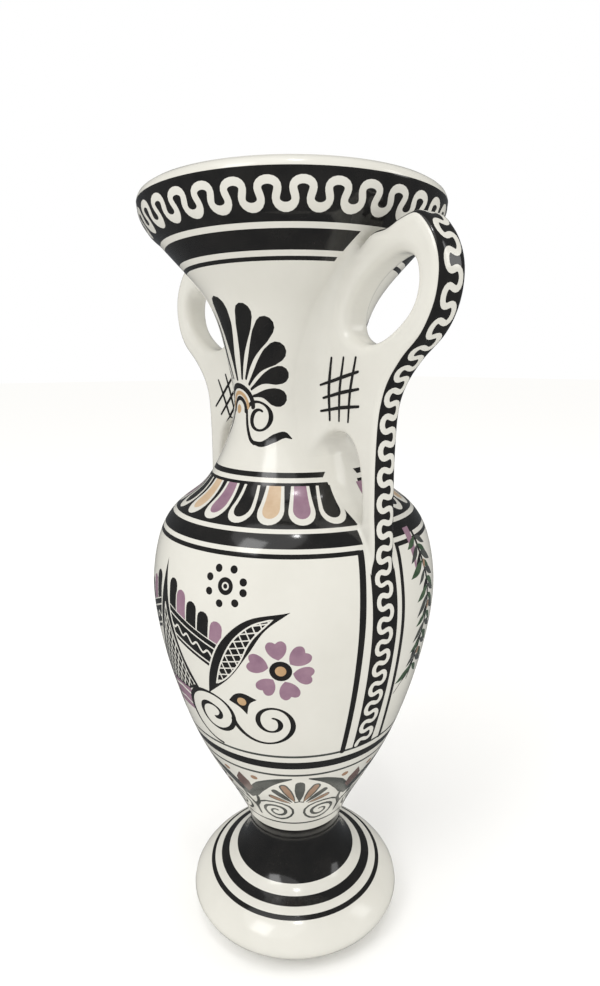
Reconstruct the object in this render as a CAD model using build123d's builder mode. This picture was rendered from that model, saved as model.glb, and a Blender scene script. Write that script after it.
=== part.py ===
from build123d import *
import os

os.makedirs("parts", exist_ok=True)

# A footed amphora with a trumpet mouth and two flat strap handles, in glazed earthenware.
# The frame is in millimetres, +Z up, with the origin on the table under the centre of the foot.
# The handles stand along +X and -X, the left one a few degrees forward of the axis, as luted on by
# hand, and the front of the vessel faces -Y.

# Driving dimensions: heights above the table and radii from the axis
height = 300.0
wall = 4.5
belly_radius = 57.2
neck_radius = 23.3
waist_radius = 19.9
foot_radius = 45.5
foot_ring_radius = 31.4
lip_radius = 56.8
lip_height = 295.2
rim_notch_radius = 49.9

# Seams where the potter lutes one section onto the next
waist_seam = 44.0
shoulder_seam = 178.0
neck_seam = 205.0
mouth_seam = 239.4
rim_seam = 283.5

# The floor inside, and the recess under the foot
floor_height = 53.0
floor_radius = 14.0
recess_depth = 24.0
recess_radius = 26.0
recess_crown_radius = 12.0

# Handles: a flat plate with a finger hole above and an arch below
loop_width = 12.2
pillar_width = 9.9
reach = 81.8
crown_height = 283.2
limb_height = 277.0
pillar_outer = 55.9
pillar_inner = 47.9
arch_height = 216.2
arch_foot = 178.0
strap_foot = 166.0
hole_round = 3.0
edge_round = 2.6
left_turn = 5.0

# A handle's blank starts inside the vessel, whose solid core is cut away from it
core_radius = 12.0
blank_foot = 150.0

# The plate widens from the pillar to the loop between these two heights
widening_foot = 228.0
widening_top = 252.0

# The outer face from the foot ring up to the notch under the rim, as (radius, height)
vessel_face = [
    (foot_ring_radius, 0),
    (37.5, 3.8),
    (42.2, 7.2),
    (foot_radius, 11.2),
    (44.6, 14.2),
    (42.3, 17.2),
    (39.0, 20.0),
    (35.0, 22.2),
    (31.0, 24.0),
    (26.8, 26.6),
    (23.2, 30.6),
    (20.8, 36.0),
    (waist_radius, 41.5),
    (21.9, 49.5),
    (27.8, 62.1),
    (39.8, 84.8),
    (49.9, 112.1),
    (56.0, 139.4),
    (belly_radius, 153.0),
    (55.5, 168.5),
    (50.8, 180.9),
    (45.1, 187.0),
    (37.1, 193.0),
    (29.8, 203.6),
    (25.0, 215.0),
    (neck_radius, 225.8),
    (25.2, mouth_seam),
    (31.9, 262.1),
    (42.7, 275.8),
    (rim_notch_radius, rim_seam),
]

# The rim band: it swells out of the notch and rolls over the top
rim_face = [
    (rim_notch_radius + 0.9, rim_seam + 0.4),
    (53.9, 287.5),
    (56.1, 291.5),
    (lip_radius, lip_height),
]
lip_roll = [
    (lip_radius, lip_height),
    (lip_radius - 0.7, height - 1.5),
    (lip_radius - 2.8, height),
    (lip_radius - 5.2, height - 1.4),
]

# The inner face stands one wall thickness inside the outer one
with BuildLine() as outer_line:
    Spline(*vessel_face)

inner_start = 0.285
inner_steps = 17


def inner_point(step):
    """A point one wall inside the outer face, between the floor and the notch."""
    position = inner_start + (1 - inner_start) * step / inner_steps
    point = outer_line.line @ position
    along = outer_line.line % position
    return (point.X - wall * along.Y, point.Y + wall * along.X)


inner_face = [inner_point(step) for step in range(inner_steps + 1)]

with BuildSketch(Plane.XZ) as wall_section:
    with BuildLine():
        Spline(*vessel_face)
        Line(vessel_face[-1], rim_face[0])
        Spline(*rim_face)
        Spline(*lip_roll)
        Line(lip_roll[-1], inner_face[-1])
        Spline(*reversed(inner_face))
        Spline(inner_face[0], (floor_radius, floor_height + 2), (0, floor_height), tangents=[(-0.5, -0.86), (-1, 0)])
        Line((0, floor_height), (0, recess_depth))
        Spline(
            (0, recess_depth),
            (recess_crown_radius, recess_depth - 4),
            (recess_radius, 0),
            tangents=[(1, 0), (0.2, -1)],
        )
        Line((recess_radius, 0), vessel_face[0])
    make_face()

with BuildSketch(Plane.XZ) as solid_section:
    with BuildLine():
        Spline(*vessel_face)
        Line(vessel_face[-1], (0, rim_seam))
        Line((0, rim_seam), (0, 0))
        Line((0, 0), vessel_face[0])
    make_face()


def slab(low, high):
    """Keeps the part of a profile that lies between two seams."""
    with Locations((0, (low + high) / 2)):
        Rectangle(4 * belly_radius, high - low, mode=Mode.INTERSECT)


with BuildPart() as foot:
    with BuildSketch(Plane.XZ):
        add(wall_section.sketch_local)
        slab(0, waist_seam)
    revolve(axis=Axis.Z)

with BuildPart() as belly:
    with BuildSketch(Plane.XZ):
        add(wall_section.sketch_local)
        slab(waist_seam, shoulder_seam)
    revolve(axis=Axis.Z)

with BuildPart() as shoulder:
    with BuildSketch(Plane.XZ):
        add(wall_section.sketch_local)
        slab(shoulder_seam, neck_seam)
    revolve(axis=Axis.Z)

with BuildPart() as neck:
    with BuildSketch(Plane.XZ):
        add(wall_section.sketch_local)
        slab(neck_seam, mouth_seam)
    revolve(axis=Axis.Z)

with BuildPart() as mouth:
    with BuildSketch(Plane.XZ):
        add(wall_section.sketch_local)
        slab(mouth_seam, rim_seam)
    revolve(axis=Axis.Z)

with BuildPart() as rim:
    with BuildSketch(Plane.XZ):
        add(wall_section.sketch_local)
        slab(rim_seam, height)
    revolve(axis=Axis.Z)

# The outer face of a handle, from inside the cone, over the crown and down to the belly
limb_and_crown = [
    (46.0, limb_height),
    (52.0, 280.2),
    (58.5, 280.8),
    (65.2, 282.8),
    (71.5, crown_height),
    (77.0, 278.5),
    (80.6, 272.2),
    (reach, 265.5),
    (80.4, 257.0),
    (75.6, 248.6),
    (66.5, 240.6),
    (60.3, 233.0),
    (57.3, 225.3),
    (pillar_outer, 210.0),
    (pillar_outer, 192.0),
    (pillar_outer + 0.2, 176.0),
    (54.2, strap_foot),
]

# The inner face of the pillar, round the top of the arch and into the neck
pillar_and_arch = [
    (43.0, arch_foot),
    (47.4, 186.0),
    (pillar_inner, 194.0),
    (46.9, 203.0),
    (44.5, 210.8),
    (39.5, arch_height - 0.6),
    (32.5, arch_height),
    (22.0, arch_height - 2.2),
]

finger_hole = [
    (70.0, 270.2),
    (72.0, 264.5),
    (70.8, 258.4),
    (66.8, 253.4),
    (55.0, 247.0),
    (46.0, 246.8),
    (40.0, 250.8),
    (39.6, 257.0),
    (46.6, 266.0),
    (62.0, 272.6),
]

# Seen from the side that faces the vessel, a handle is wider at the loop than along the pillar
front_outline = [
    (-loop_width / 2, height),
    (-loop_width / 2, widening_top),
    (-pillar_width / 2, widening_foot),
    (-pillar_width / 2, blank_foot),
    (pillar_width / 2, blank_foot),
    (pillar_width / 2, widening_foot),
    (loop_width / 2, widening_top),
    (loop_width / 2, height),
]

with BuildPart() as handle_right:
    with BuildSketch(Plane.XZ):
        with BuildLine():
            Spline(*limb_and_crown)
            Line(limb_and_crown[-1], pillar_and_arch[0])
            Spline(*pillar_and_arch)
            Polyline(pillar_and_arch[-1], (core_radius, arch_height), (core_radius, limb_height), limb_and_crown[0])
        make_face()
        with BuildLine():
            Spline(*finger_hole, periodic=True)
        make_face(mode=Mode.SUBTRACT)
    extrude(amount=loop_width / 2, both=True)
    fillet(handle_right.edges().filter_by(lambda edge: edge.is_closed), radius=hole_round)
    long_edges = handle_right.edges().filter_by(lambda edge: edge.length > 2 * belly_radius)
    fillet(long_edges.filter_by(lambda edge: edge.center().Y != 0), radius=edge_round)
    with BuildSketch(Plane.YZ):
        with BuildLine():
            Polyline(*front_outline, close=True)
        make_face()
    extrude(amount=2 * reach, both=True, mode=Mode.INTERSECT)
    with BuildSketch(Plane.XZ):
        add(solid_section.sketch_local)
    revolve(axis=Axis.Z, mode=Mode.SUBTRACT)

# Mirrored about a plane that is turned by half of left_turn, the left handle is turned by all of it
mirror_plane = Plane(origin=(0, 0, 0), z_dir=Vector(1, 0, 0).rotate(Axis.Z, left_turn / 2))

with BuildPart() as handle_left:
    mirror(handle_right.part, about=mirror_plane)

foot.part.label = "foot"
belly.part.label = "belly"
shoulder.part.label = "shoulder"
neck.part.label = "neck"
mouth.part.label = "mouth"
rim.part.label = "rim"
handle_right.part.label = "handle_right"
handle_left.part.label = "handle_left"

export_step(foot.part, "parts/foot.step")
export_step(belly.part, "parts/belly.step")
export_step(shoulder.part, "parts/shoulder.step")
export_step(neck.part, "parts/neck.step")
export_step(mouth.part, "parts/mouth.step")
export_step(rim.part, "parts/rim.step")
export_step(handle_right.part, "parts/handle_right.step")
export_step(handle_left.part, "parts/handle_left.step")
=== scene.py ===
import math
import bpy
import numpy as np
from mathutils import Matrix, Vector
from mathutils.geometry import delaunay_2d_cdt


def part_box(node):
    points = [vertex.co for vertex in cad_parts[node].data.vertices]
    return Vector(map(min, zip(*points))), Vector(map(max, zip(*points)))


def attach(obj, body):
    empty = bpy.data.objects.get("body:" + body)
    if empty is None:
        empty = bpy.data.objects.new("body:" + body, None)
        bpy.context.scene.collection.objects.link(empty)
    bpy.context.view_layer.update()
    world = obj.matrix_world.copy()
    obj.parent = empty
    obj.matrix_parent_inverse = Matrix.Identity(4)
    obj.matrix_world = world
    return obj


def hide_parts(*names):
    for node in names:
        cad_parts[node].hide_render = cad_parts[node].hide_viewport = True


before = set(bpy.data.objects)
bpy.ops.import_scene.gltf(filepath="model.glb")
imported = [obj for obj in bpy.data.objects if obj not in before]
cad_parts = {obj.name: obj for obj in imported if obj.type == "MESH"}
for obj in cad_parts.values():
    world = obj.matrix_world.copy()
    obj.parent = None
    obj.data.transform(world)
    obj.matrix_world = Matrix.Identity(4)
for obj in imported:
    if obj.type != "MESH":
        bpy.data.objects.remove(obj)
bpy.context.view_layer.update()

# A painted two-handled amphora. The CAD sections give its shape: each one is rebuilt here as a
# fine closed mesh whose outer skin is cut along the outlines of the painting, and the two plate
# handles grow out of the vessel with soft clay fillets.
#
# Lengths in the drawing are millimetres. Round the vessel a place is given by its angle in
# degrees, 0 at the front (-Y) and growing towards the handle on +X, and by its height.

MM = 0.001
SECTIONS = ("foot", "belly", "shoulder", "neck", "mouth", "rim")
HANDLES = ("handle_right", "handle_left")
HANDLE_ANGLES = (90.0, 275.0)
# Each painted skin is cut open at this angle, between two tongues and clear of the handles.
SEAM_ANGLE = -111.8
# The largest step in a painted skin's mesh, and the number of corners in a plain ring of clay.
GRID = 2.0
RING_CORNERS = 180


def box_mm(node):
    """The lowest and highest corner of a CAD node in millimetres."""
    low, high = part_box(node)
    return np.array(low) / MM, np.array(high) / MM


# -------- the vessel's meridian


def face_points(names, way):
    """(height, radius) of every CAD vertex on faces that look away from the axis (way 1) or to it."""
    found = {}
    for name in names:
        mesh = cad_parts[name].data
        for face in mesh.polygons:
            reach = math.hypot(face.center.x, face.center.y)
            lean = (face.normal.x * face.center.x + face.normal.y * face.center.y) / max(reach, 1e-9)
            if lean * way > 0.04:
                for index in face.vertices:
                    co = mesh.vertices[index].co / MM
                    found[round(co.z, 2)] = math.hypot(co.x, co.y)
    return found


def thin_out(found, gap):
    """Heights and radii in order, at least gap apart."""
    heights = []
    for height in sorted(found):
        if not heights or height - heights[-1] >= gap:
            heights.append(height)
    top = max(found)
    if heights[-1] != top:
        heights[-1] = top
    return np.array(heights), np.array([found[height] for height in heights])


class Curve:
    """A smooth curve through known values, with its slope (cubic Hermite)."""

    def __init__(self, x, y):
        self.x = np.asarray(x, float)
        self.y = np.asarray(y, float)
        self.m = np.gradient(self.y, self.x)

    def __call__(self, at):
        at = np.clip(np.asarray(at, float), self.x[0], self.x[-1])
        i = np.clip(np.searchsorted(self.x, at) - 1, 0, len(self.x) - 2)
        h = self.x[i + 1] - self.x[i]
        t = (at - self.x[i]) / h
        a = (1 + 2 * t) * (1 - t) ** 2 * self.y[i] + t * (1 - t) ** 2 * h * self.m[i]
        b = t * t * (3 - 2 * t) * self.y[i + 1] + t * t * (t - 1) * h * self.m[i + 1]
        return a + b

    def slope(self, at, step=0.05):
        return (self(at + step) - self(at - step)) / (2 * step)


outer = Curve(*thin_out(face_points(SECTIONS, 1), 0.6))
inner = Curve(*thin_out(face_points(SECTIONS, -1), 0.9))


def around(angle):
    """The unit vector that points out from the axis at an angle of the drawing."""
    turn = math.radians(angle)
    return np.array([math.sin(turn), -math.cos(turn), 0.0])


def add_object(name, data):
    """An object of this data, put in the scene."""
    thing = bpy.data.objects.new(name, data)
    bpy.context.scene.collection.objects.link(thing)
    return thing


# -------- shapes of the painting


class Paint:
    """The painting of one section: closed outlines in (angle, height), laid one over another."""

    def __init__(self, low, high):
        self.low = low
        self.high = high
        self.layers = []

    def area(self, outline, colour, inside=None):
        """A closed outline. With inside, only what lies in that other outline is painted."""
        limit = None if inside is None else np.array(inside, float)
        self.layers.append((np.array(outline, float), colour, limit))


def degree_mm(height):
    """How many millimetres one degree measures round the vessel at a height."""
    return math.radians(1) * float(outer(height))


def laid(points, centre, heading):
    """A flat drawing in millimetres, turned to a heading and laid on the surface at a centre."""
    scale = degree_mm(centre[1])
    c, s = math.cos(math.radians(heading)), math.sin(math.radians(heading))
    return [(centre[0] + (c * x - s * y) / scale, centre[1] + s * x + c * y) for x, y in points]


def smooth(points, closed=False, steps=6):
    """A centripetal Catmull-Rom curve through given points."""
    p = [np.array(q, float) for q in points]
    ends = [p[-1]] + p + [p[0], p[1]] if closed else [2 * p[0] - p[1]] + p + [2 * p[-1] - p[-2]]
    out = []
    for i in range(len(p) if closed else len(p) - 1):
        a, b, c, d = ends[i:i + 4]
        t1 = max(np.linalg.norm(b - a), 1e-6) ** 0.5
        t2 = t1 + max(np.linalg.norm(c - b), 1e-6) ** 0.5
        t3 = t2 + max(np.linalg.norm(d - c), 1e-6) ** 0.5
        for k in range(steps):
            t = t1 + (t2 - t1) * k / steps
            ab = a + (b - a) * t / t1
            bc = b + (c - b) * (t - t1) / (t2 - t1)
            cd = c + (d - c) * (t - t2) / (t3 - t2)
            abc = ab + (bc - ab) * t / t2
            bcd = bc + (cd - bc) * (t - t1) / (t3 - t1)
            out.append(abc + (bcd - abc) * (t - t1) / (t2 - t1))
    if not closed:
        out.append(p[-1])
    return [tuple(q) for q in out]


def stroke(points, width, closed=False, flat=False):
    """The outline of a brush line round its centre line, true to width on the surface, or on a flat
    drawing in millimetres."""
    p = np.array(points, float)
    wide = np.full(len(p), width, float) if np.isscalar(width) else np.interp(
        np.linspace(0, 1, len(p)), np.linspace(0, 1, len(width)), width)
    scale = np.array([1.0 if flat else degree_mm(z) for z in p[:, 1]])
    ahead = np.roll(p, -1, 0) - p
    behind = p - np.roll(p, 1, 0)
    if not closed:
        ahead[-1] = behind[-1]
        behind[0] = ahead[0]
    along = ahead + behind
    along[:, 0] *= scale
    along /= np.maximum(np.linalg.norm(along, axis=1), 1e-9)[:, None]
    side = np.stack([-along[:, 1] / scale, along[:, 0]], 1) * wide[:, None] / 2
    left, right = p + side, p - side
    if closed:
        return np.concatenate([left, left[:1], right[:1], right[::-1]])
    cap = []
    for centre, direction, half, grade in ((p[-1], along[-1], wide[-1] / 2, scale[-1]),
                                           (p[0], -along[0], wide[0] / 2, scale[0])):
        turns = math.atan2(direction[1], direction[0]) + np.radians((60, 30, 0, -30, -60))
        cap.append([(centre[0] + half * math.cos(a) / grade, centre[1] + half * math.sin(a)) for a in turns])
    return np.concatenate([left, cap[0], right[::-1], cap[1]])


def oval(angle, height, wide, tall, tilt=0.0, corners=24):
    """An ellipse of those half sizes in millimetres."""
    turns = 2 * math.pi * np.arange(corners) / corners
    return laid([(wide * math.cos(a), tall * math.sin(a)) for a in turns], (angle, height), tilt)


def sided(points, way):
    """An outline as it is drawn for way 1, or mirrored about the front for way -1."""
    return [(way * angle, height) for angle, height in points]


def both(points):
    """An outline and its mirror image."""
    return [sided(points, 1), sided(points, -1)]


def meander(turns, swing, steps=20):
    """A winding river: its direction swings as a sine. A turn is 1 long, and it swings from -1 to 1."""
    s = (np.arange(turns * steps) + 0.5) / steps
    heading = swing * np.cos(2 * math.pi * s)
    x = np.concatenate([[0], np.cumsum(np.cos(heading))])
    y = np.concatenate([[0], np.cumsum(np.sin(heading))])
    x = x / x[-1] * turns
    y = y - (y.max() + y.min()) / 2
    return x, y / y.max()


# -------- meshes


def point_in(points, outline):
    """Which of these points lie inside an outline."""
    inside = np.zeros(len(points), bool)
    low, high = outline.min(0), outline.max(0)
    near = np.where(((points >= low) & (points <= high)).all(1))[0]
    if not len(near):
        return inside
    x, y = points[near, 0], points[near, 1]
    odd = np.zeros(len(near), bool)
    for (x0, y0), (x1, y1) in zip(outline, np.roll(outline, -1, 0)):
        if y0 != y1:
            cross = ((y0 > y) != (y1 > y)) & (x < (x1 - x0) * (y - y0) / (y1 - y0) + x0)
            odd ^= cross
    inside[near] = odd
    return inside


def finely(outline, step):
    """The same closed outline with no edge longer than step, so that it can bend with the surface."""
    outline = np.asarray(outline, float)
    out = []
    for a, b in zip(outline, np.roll(outline, -1, 0)):
        count = max(1, math.ceil(np.linalg.norm(b - a) / step))
        out.extend(a + (b - a) * k / count for k in range(count))
    return np.array(out)


def cut_sheet(xs, ys, layers):
    """A flat triangle mesh over a grid, cut along every outline, and the colour of each triangle."""
    verts = [Vector((x, y)) for y in ys for x in xs]
    edges = []

    def loop(points):
        first = len(verts)
        verts.extend(Vector(p) for p in points)
        count = len(points)
        edges.extend((first + k, first + (k + 1) % count) for k in range(count))

    loop([(xs[0], ys[0]), (xs[-1], ys[0]), (xs[-1], ys[-1]), (xs[0], ys[-1])])
    for outline, _, inside in layers:
        loop(outline)
        if inside is not None:
            loop(inside)
    points, _, faces, _, _, _ = delaunay_2d_cdt(verts, edges, [], 0, 1e-4, False)
    points = np.array(points)
    faces = np.array(faces)
    centre = points[faces].mean(1)
    keep = ((centre > (xs[0], ys[0])) & (centre < (xs[-1], ys[-1]))).all(1)
    a, b, c = (points[faces[:, k]] for k in range(3))
    area = (b[:, 0] - a[:, 0]) * (c[:, 1] - a[:, 1]) - (b[:, 1] - a[:, 1]) * (c[:, 0] - a[:, 0])
    faces[area < 0] = faces[area < 0][:, ::-1]
    keep &= abs(area) > 1e-7
    faces, centre = faces[keep], centre[keep]
    colour = np.zeros(len(faces), int)
    for outline, paint, inside in layers:
        covered = point_in(centre, outline)
        if inside is not None:
            covered &= point_in(centre, inside)
        colour[covered] = paint
    return points, faces, colour


class Shape:
    """Vertices, faces, colours and true normals of a piece, in millimetres."""

    def __init__(self):
        self.verts = []
        self.faces = []
        self.colours = []
        self.normals = {}

    def add(self, points, normals=None):
        first = len(self.verts)
        self.verts.extend(tuple(p) for p in points)
        if normals is not None:
            for k, normal in enumerate(normals):
                self.normals[first + k] = normal
        return first

    def face(self, corners, colour=0):
        if len(set(corners)) > 2:
            self.faces.append(tuple(corners))
            self.colours.append(colour)

    def ring(self, radius, height):
        """A level ring of points: their indices and their angles."""
        angles = SEAM_ANGLE + 360.0 * np.arange(RING_CORNERS) / RING_CORNERS
        first = self.add([(radius * math.sin(a), -radius * math.cos(a), height) for a in np.radians(angles)])
        return [first + k for k in range(RING_CORNERS)], list(angles)

    def strip(self, low, high):
        """Fills between two rings given as (indices, angles), zipping their unequal steps."""
        (a, at), (b, bt) = low, high
        a, b = a + [a[0]], b + [b[0]]
        at, bt = list(at) + [at[0] + 360], list(bt) + [bt[0] + 360]
        i = j = 0
        while i < len(a) - 1 or j < len(b) - 1:
            if j == len(b) - 1 or (i < len(a) - 1 and at[i + 1] <= bt[j + 1]):
                self.face((a[i], a[i + 1], b[j]))
                i += 1
            else:
                self.face((a[i], b[j + 1], b[j]))
                j += 1

    def pole(self, ring, height, upward):
        """Closes a ring onto the axis."""
        tip = self.add([(0, 0, height)])
        ids = ring[0] + [ring[0][0]]
        for p, q in zip(ids, ids[1:]):
            self.face((p, q, tip) if upward else (q, p, tip))

    def build(self, name, materials, smooth_angle=40.0):
        """A Blender object of this shape."""
        mesh = bpy.data.meshes.new(name)
        mesh.from_pydata([tuple(c * MM for c in v) for v in self.verts], [], self.faces)
        for material in materials:
            mesh.materials.append(material)
        mesh.polygons.foreach_set("material_index", self.colours)
        mesh.update()
        mesh.polygons.foreach_set("use_smooth", [True] * len(mesh.polygons))
        mesh.set_sharp_from_angle(angle=math.radians(smooth_angle))
        if self.normals:
            loops = np.zeros(len(mesh.loops), int)
            mesh.loops.foreach_get("vertex_index", loops)
            given = np.zeros((len(self.verts), 3))
            for index, normal in self.normals.items():
                given[index] = normal
            mesh.normals_split_custom_set(given[loops])
        return add_object(name, mesh)


def outer_normal(angle, height):
    """The true normal of the outer face."""
    lean = outer.slope(height)
    out = around(angle)
    normal = np.array([out[0], out[1], -float(lean)])
    return normal / np.linalg.norm(normal)


def painted_skin(shape, low, high, layers):
    """The outer skin of a section between two heights, cut and coloured by the painting."""
    steps = np.linspace(low, high, 400)
    radii = outer(steps)
    length = np.concatenate([[0], np.cumsum(np.hypot(np.diff(steps), np.diff(radii)))])
    wide = radii.max()
    start, stop = math.radians(SEAM_ANGLE) * wide, math.radians(SEAM_ANGLE + 360) * wide

    def flat(outline):
        outline = np.asarray(outline, float)
        along = np.interp(outline[:, 1], steps, length)
        along += np.minimum(outline[:, 1] - low, 0) + np.maximum(outline[:, 1] - high, 0)
        return finely(np.stack([np.radians(outline[:, 0]) * wide, along], 1), GRID)

    near = [(flat(o), c, None if inside is None else flat(inside)) for o, c, inside in layers
            if o[:, 1].max() > low and o[:, 1].min() < high]
    columns = int(round((stop - start) / GRID))
    rows = max(2, int(round(length[-1] / GRID)))
    xs, ys = np.linspace(start, stop, columns + 1), np.linspace(0, length[-1], rows + 1)
    points, faces, colour = cut_sheet(xs, ys, near)
    used = np.unique(faces)
    place = {}
    border = {0: {}, 1: {}}
    for index in used:
        x, y = points[index]
        angle = math.degrees(x / wide)
        if angle > SEAM_ANGLE + 360 - 1e-3:
            angle = SEAM_ANGLE
        key = (round(angle, 3), round(y, 3))
        if key not in place:
            height = float(np.interp(y, length, steps))
            radius = float(outer(height))
            out = around(angle)
            corner = (radius * out[0], radius * out[1], height)
            first = shape.add([corner], [outer_normal(angle, height)])
            place[key] = first
            if y < 1e-3:
                border[0][key[0]] = first
            if y > length[-1] - 1e-3:
                border[1][key[0]] = first
        place[index] = place[key]
    for corners, paint in zip(faces, colour):
        shape.face([place[index] for index in corners], int(paint))
    edges = []
    for end in (0, 1):
        angles = sorted(border[end])
        edges.append(([border[end][angle] for angle in angles], angles))
    return edges


def path_rings(shape, first, path, last=None, tip=None, back=False):
    """Plain clay along a path of (radius, height) points, from a ring to another ring or to the axis."""
    before = first
    for radius, height in path:
        ring = shape.ring(radius, height)
        shape.strip(*((ring, before) if back else (before, ring)))
        before = ring
    if last is not None:
        shape.strip(before, last)
    else:
        shape.pole(before, tip, not back)


# -------- handles


class Outline:
    """A closed outline in the plane of the handles (x, z), with its signed distance."""

    def __init__(self, points):
        self.p = np.array(points, float)
        self.q = np.roll(self.p, -1, 0)

    def distance(self, x, z):
        """Negative inside."""
        near = np.full(x.shape, 1e9)
        odd = np.zeros(x.shape, bool)
        for (ax, az), (bx, bz) in zip(self.p, self.q):
            ex, ez = bx - ax, bz - az
            t = np.clip(((x - ax) * ex + (z - az) * ez) / (ex * ex + ez * ez), 0, 1)
            near = np.minimum(near, (x - ax - t * ex) ** 2 + (z - az - t * ez) ** 2)
            if az != bz:
                odd ^= ((az > z) != (bz > z)) & (x < ex * (z - az) / (bz - az) + ax)
        return np.where(odd, -1, 1) * np.sqrt(near)


def smax(a, b, k):
    """The larger of two fields, rounded over a width k."""
    h = np.maximum(k - abs(a - b), 0) / k
    return np.maximum(a, b) + h * h * k / 4


def smin(a, b, k):
    """The smaller of two fields, rounded over a width k."""
    return -smax(-a, -b, k)


# The strap runs over the crown and down the pillar; the arch and the finger hole open the plate.
STRAP = ((46, 277), (52, 280.2), (58.5, 280.8), (65.2, 282.8), (71.5, 283.2), (77, 278.5), (80.6, 272.2),
         (81.8, 265.5), (80.4, 257), (75.6, 248.6), (66.5, 240.6), (60.3, 233), (57.3, 225.3), (55.9, 210),
         (55.9, 192), (56.1, 176), (54.6, 167), (50, 158))
ARCH = ((43, 178), (47.4, 186), (47.9, 194), (46.9, 203), (44.5, 210.8), (39.5, 215.6), (32.5, 216.2),
        (22, 214))
HOLE = ((70, 270.2), (72, 264.5), (70.8, 258.4), (66.8, 253.4), (55, 247), (46, 246.8), (40, 250.8),
        (39.6, 257), (46.6, 266), (62, 272.6))
strap_line = smooth(STRAP, steps=8)
plate_area = Outline(strap_line + [(0, 158), (0, 277)])
arch_area = Outline(smooth(ARCH, steps=8) + [(0, 214), (0, 165), (44, 165)])
hole_area = Outline(smooth(HOLE, closed=True, steps=8))
LOOP_HALF, PILLAR_HALF = 6.1, 4.95
# How softly the plate's edges are rounded, and how wide the clay fillet is at each height where a
# handle meets the vessel.
EDGE_ROUND, HOLE_ROUND, ARCH_ROUND = 3.4, 4.2, 2.6
FILLET_HEIGHTS = (186, 206, 240, 258, 270, 280)
FILLET_WIDTHS = (1.4, 9.0, 9.0, 6.0, 3.0, 2.0)


def half_width(z):
    """Half the width of a handle at a height: the loop is wider than the pillar."""
    return np.interp(z, (228, 252), (PILLAR_HALF, LOOP_HALF))


def plate_field(x, y, z):
    """Negative inside the bare handle."""
    plate = smax(abs(y) - half_width(z), plate_area.distance(x, z), EDGE_ROUND)
    plate = smax(plate, -hole_area.distance(x, z), HOLE_ROUND)
    return smax(plate, -arch_area.distance(x, z), ARCH_ROUND)


def handle_field(x, y, z):
    """Negative inside the handle with its clay fillets, cut off just under the vessel's face."""
    vessel = (np.hypot(x, y) - outer(z)) / np.sqrt(1 + outer.slope(z) ** 2)
    plate = plate_field(x, y, z)
    blend = np.interp(z, FILLET_HEIGHTS, FILLET_WIDTHS)
    joined = smin(plate, vessel, blend) + 0.05
    return np.maximum(np.maximum(joined, -(vessel + 1.2)), plate - blend - 0.5)


def gradient(field, p, step=0.02):
    """The unit vectors along which a field grows at these points."""
    out = np.zeros(p.shape)
    for axis in range(3):
        d = np.zeros(3)
        d[axis] = step
        out[:, axis] = (field(*(p + d).T) - field(*(p - d).T)) / (2 * step)
    return out / np.maximum(np.linalg.norm(out, axis=1), 1e-9)[:, None]


def surface_nets(field, low, high, cell):
    """Quads over the zero level of a field, with points pulled onto it, and their normals."""
    axes = [np.arange(a, b + cell, cell) for a, b in zip(low, high)]
    x, y, z = np.meshgrid(*axes, indexing="ij")
    value = field(x, y, z)
    shape = np.array(value.shape)
    cells = np.full(shape - 1, -1)
    total = np.zeros((*(shape - 1), 3))
    count = np.zeros(shape - 1)
    crossings = []

    def cells_at(at, others, da, db):
        """The cells that share an edge, one step back for each of da and db."""
        cell_at = at.copy()
        cell_at[:, others[0]] -= da
        cell_at[:, others[1]] -= db
        return tuple(cell_at.T)

    for axis in range(3):
        a = np.take(value, range(shape[axis] - 1), axis)
        b = np.take(value, range(1, shape[axis]), axis)
        cross = (a < 0) != (b < 0)
        at = np.argwhere(cross)
        t = a[cross] / (a[cross] - b[cross])
        place = at.astype(float)
        place[:, axis] += t
        others = [k for k in range(3) if k != axis]
        inner_cells = np.all([(at[:, k] > 0) & (at[:, k] < shape[k] - 1) for k in others], axis=0)
        at, place, sign = at[inner_cells], place[inner_cells], (a[cross] < 0)[inner_cells]
        for da in (0, 1):
            for db in (0, 1):
                shared = cells_at(at, others, da, db)
                np.add.at(total, shared, place)
                np.add.at(count, shared, 1)
        crossings.append((axis, others, at, sign))
    live = count > 0
    cells[live] = np.arange(live.sum())
    points = total[live] / count[live][:, None] * cell + np.array([a[0] for a in axes])
    quads = []
    for axis, others, at, sign in crossings:
        round_edge = ((0, 0), (1, 0), (1, 1), (0, 1))
        quad = np.stack([cells[cells_at(at, others, da, db)] for da, db in round_edge], 1)
        turn = sign if axis == 1 else ~sign
        quad[turn] = quad[turn][:, ::-1]
        quads.append(quad)
    for _ in range(3):
        normal = gradient(field, points)
        step = np.clip(field(*points.T), -cell / 2, cell / 2)
        points -= normal * step[:, None]
    return points, np.concatenate(quads), gradient(field, points)


def turned(points, angle):
    """Points or normals of the +X handle, turned to a handle at that angle of the drawing."""
    turn = math.radians(angle - 90)
    c, s = math.cos(turn), math.sin(turn)
    points = np.asarray(points, float)
    x, y, z = points.T
    return np.stack([c * x - s * y, s * x + c * y, z], 1)


HANDLE_LOW, HANDLE_HIGH = (19, -21, 154), (84, 21, 287)
handle_mesh = surface_nets(handle_field, HANDLE_LOW, HANDLE_HIGH, 0.7)


def settle(points, lift, depth=0.25):
    """Points pulled onto the handle: raised by lift, the normals there, and sunk by depth."""
    points = np.array(points, float)
    for _ in range(6):
        normal = gradient(handle_field, points)
        points -= normal * np.clip(handle_field(*points.T), -1, 1)[:, None]
    normal = gradient(handle_field, points)
    return points + normal * lift, normal, points - normal * depth


def handle(name, angle, materials):
    """The bare clay of a handle."""
    points, quads, normals = handle_mesh
    shape = Shape()
    shape.add(turned(points, angle), turned(normals, angle))
    for quad in quads:
        shape.face(tuple(int(k) for k in quad))
    return shape.build(name, materials, 75)


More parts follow.
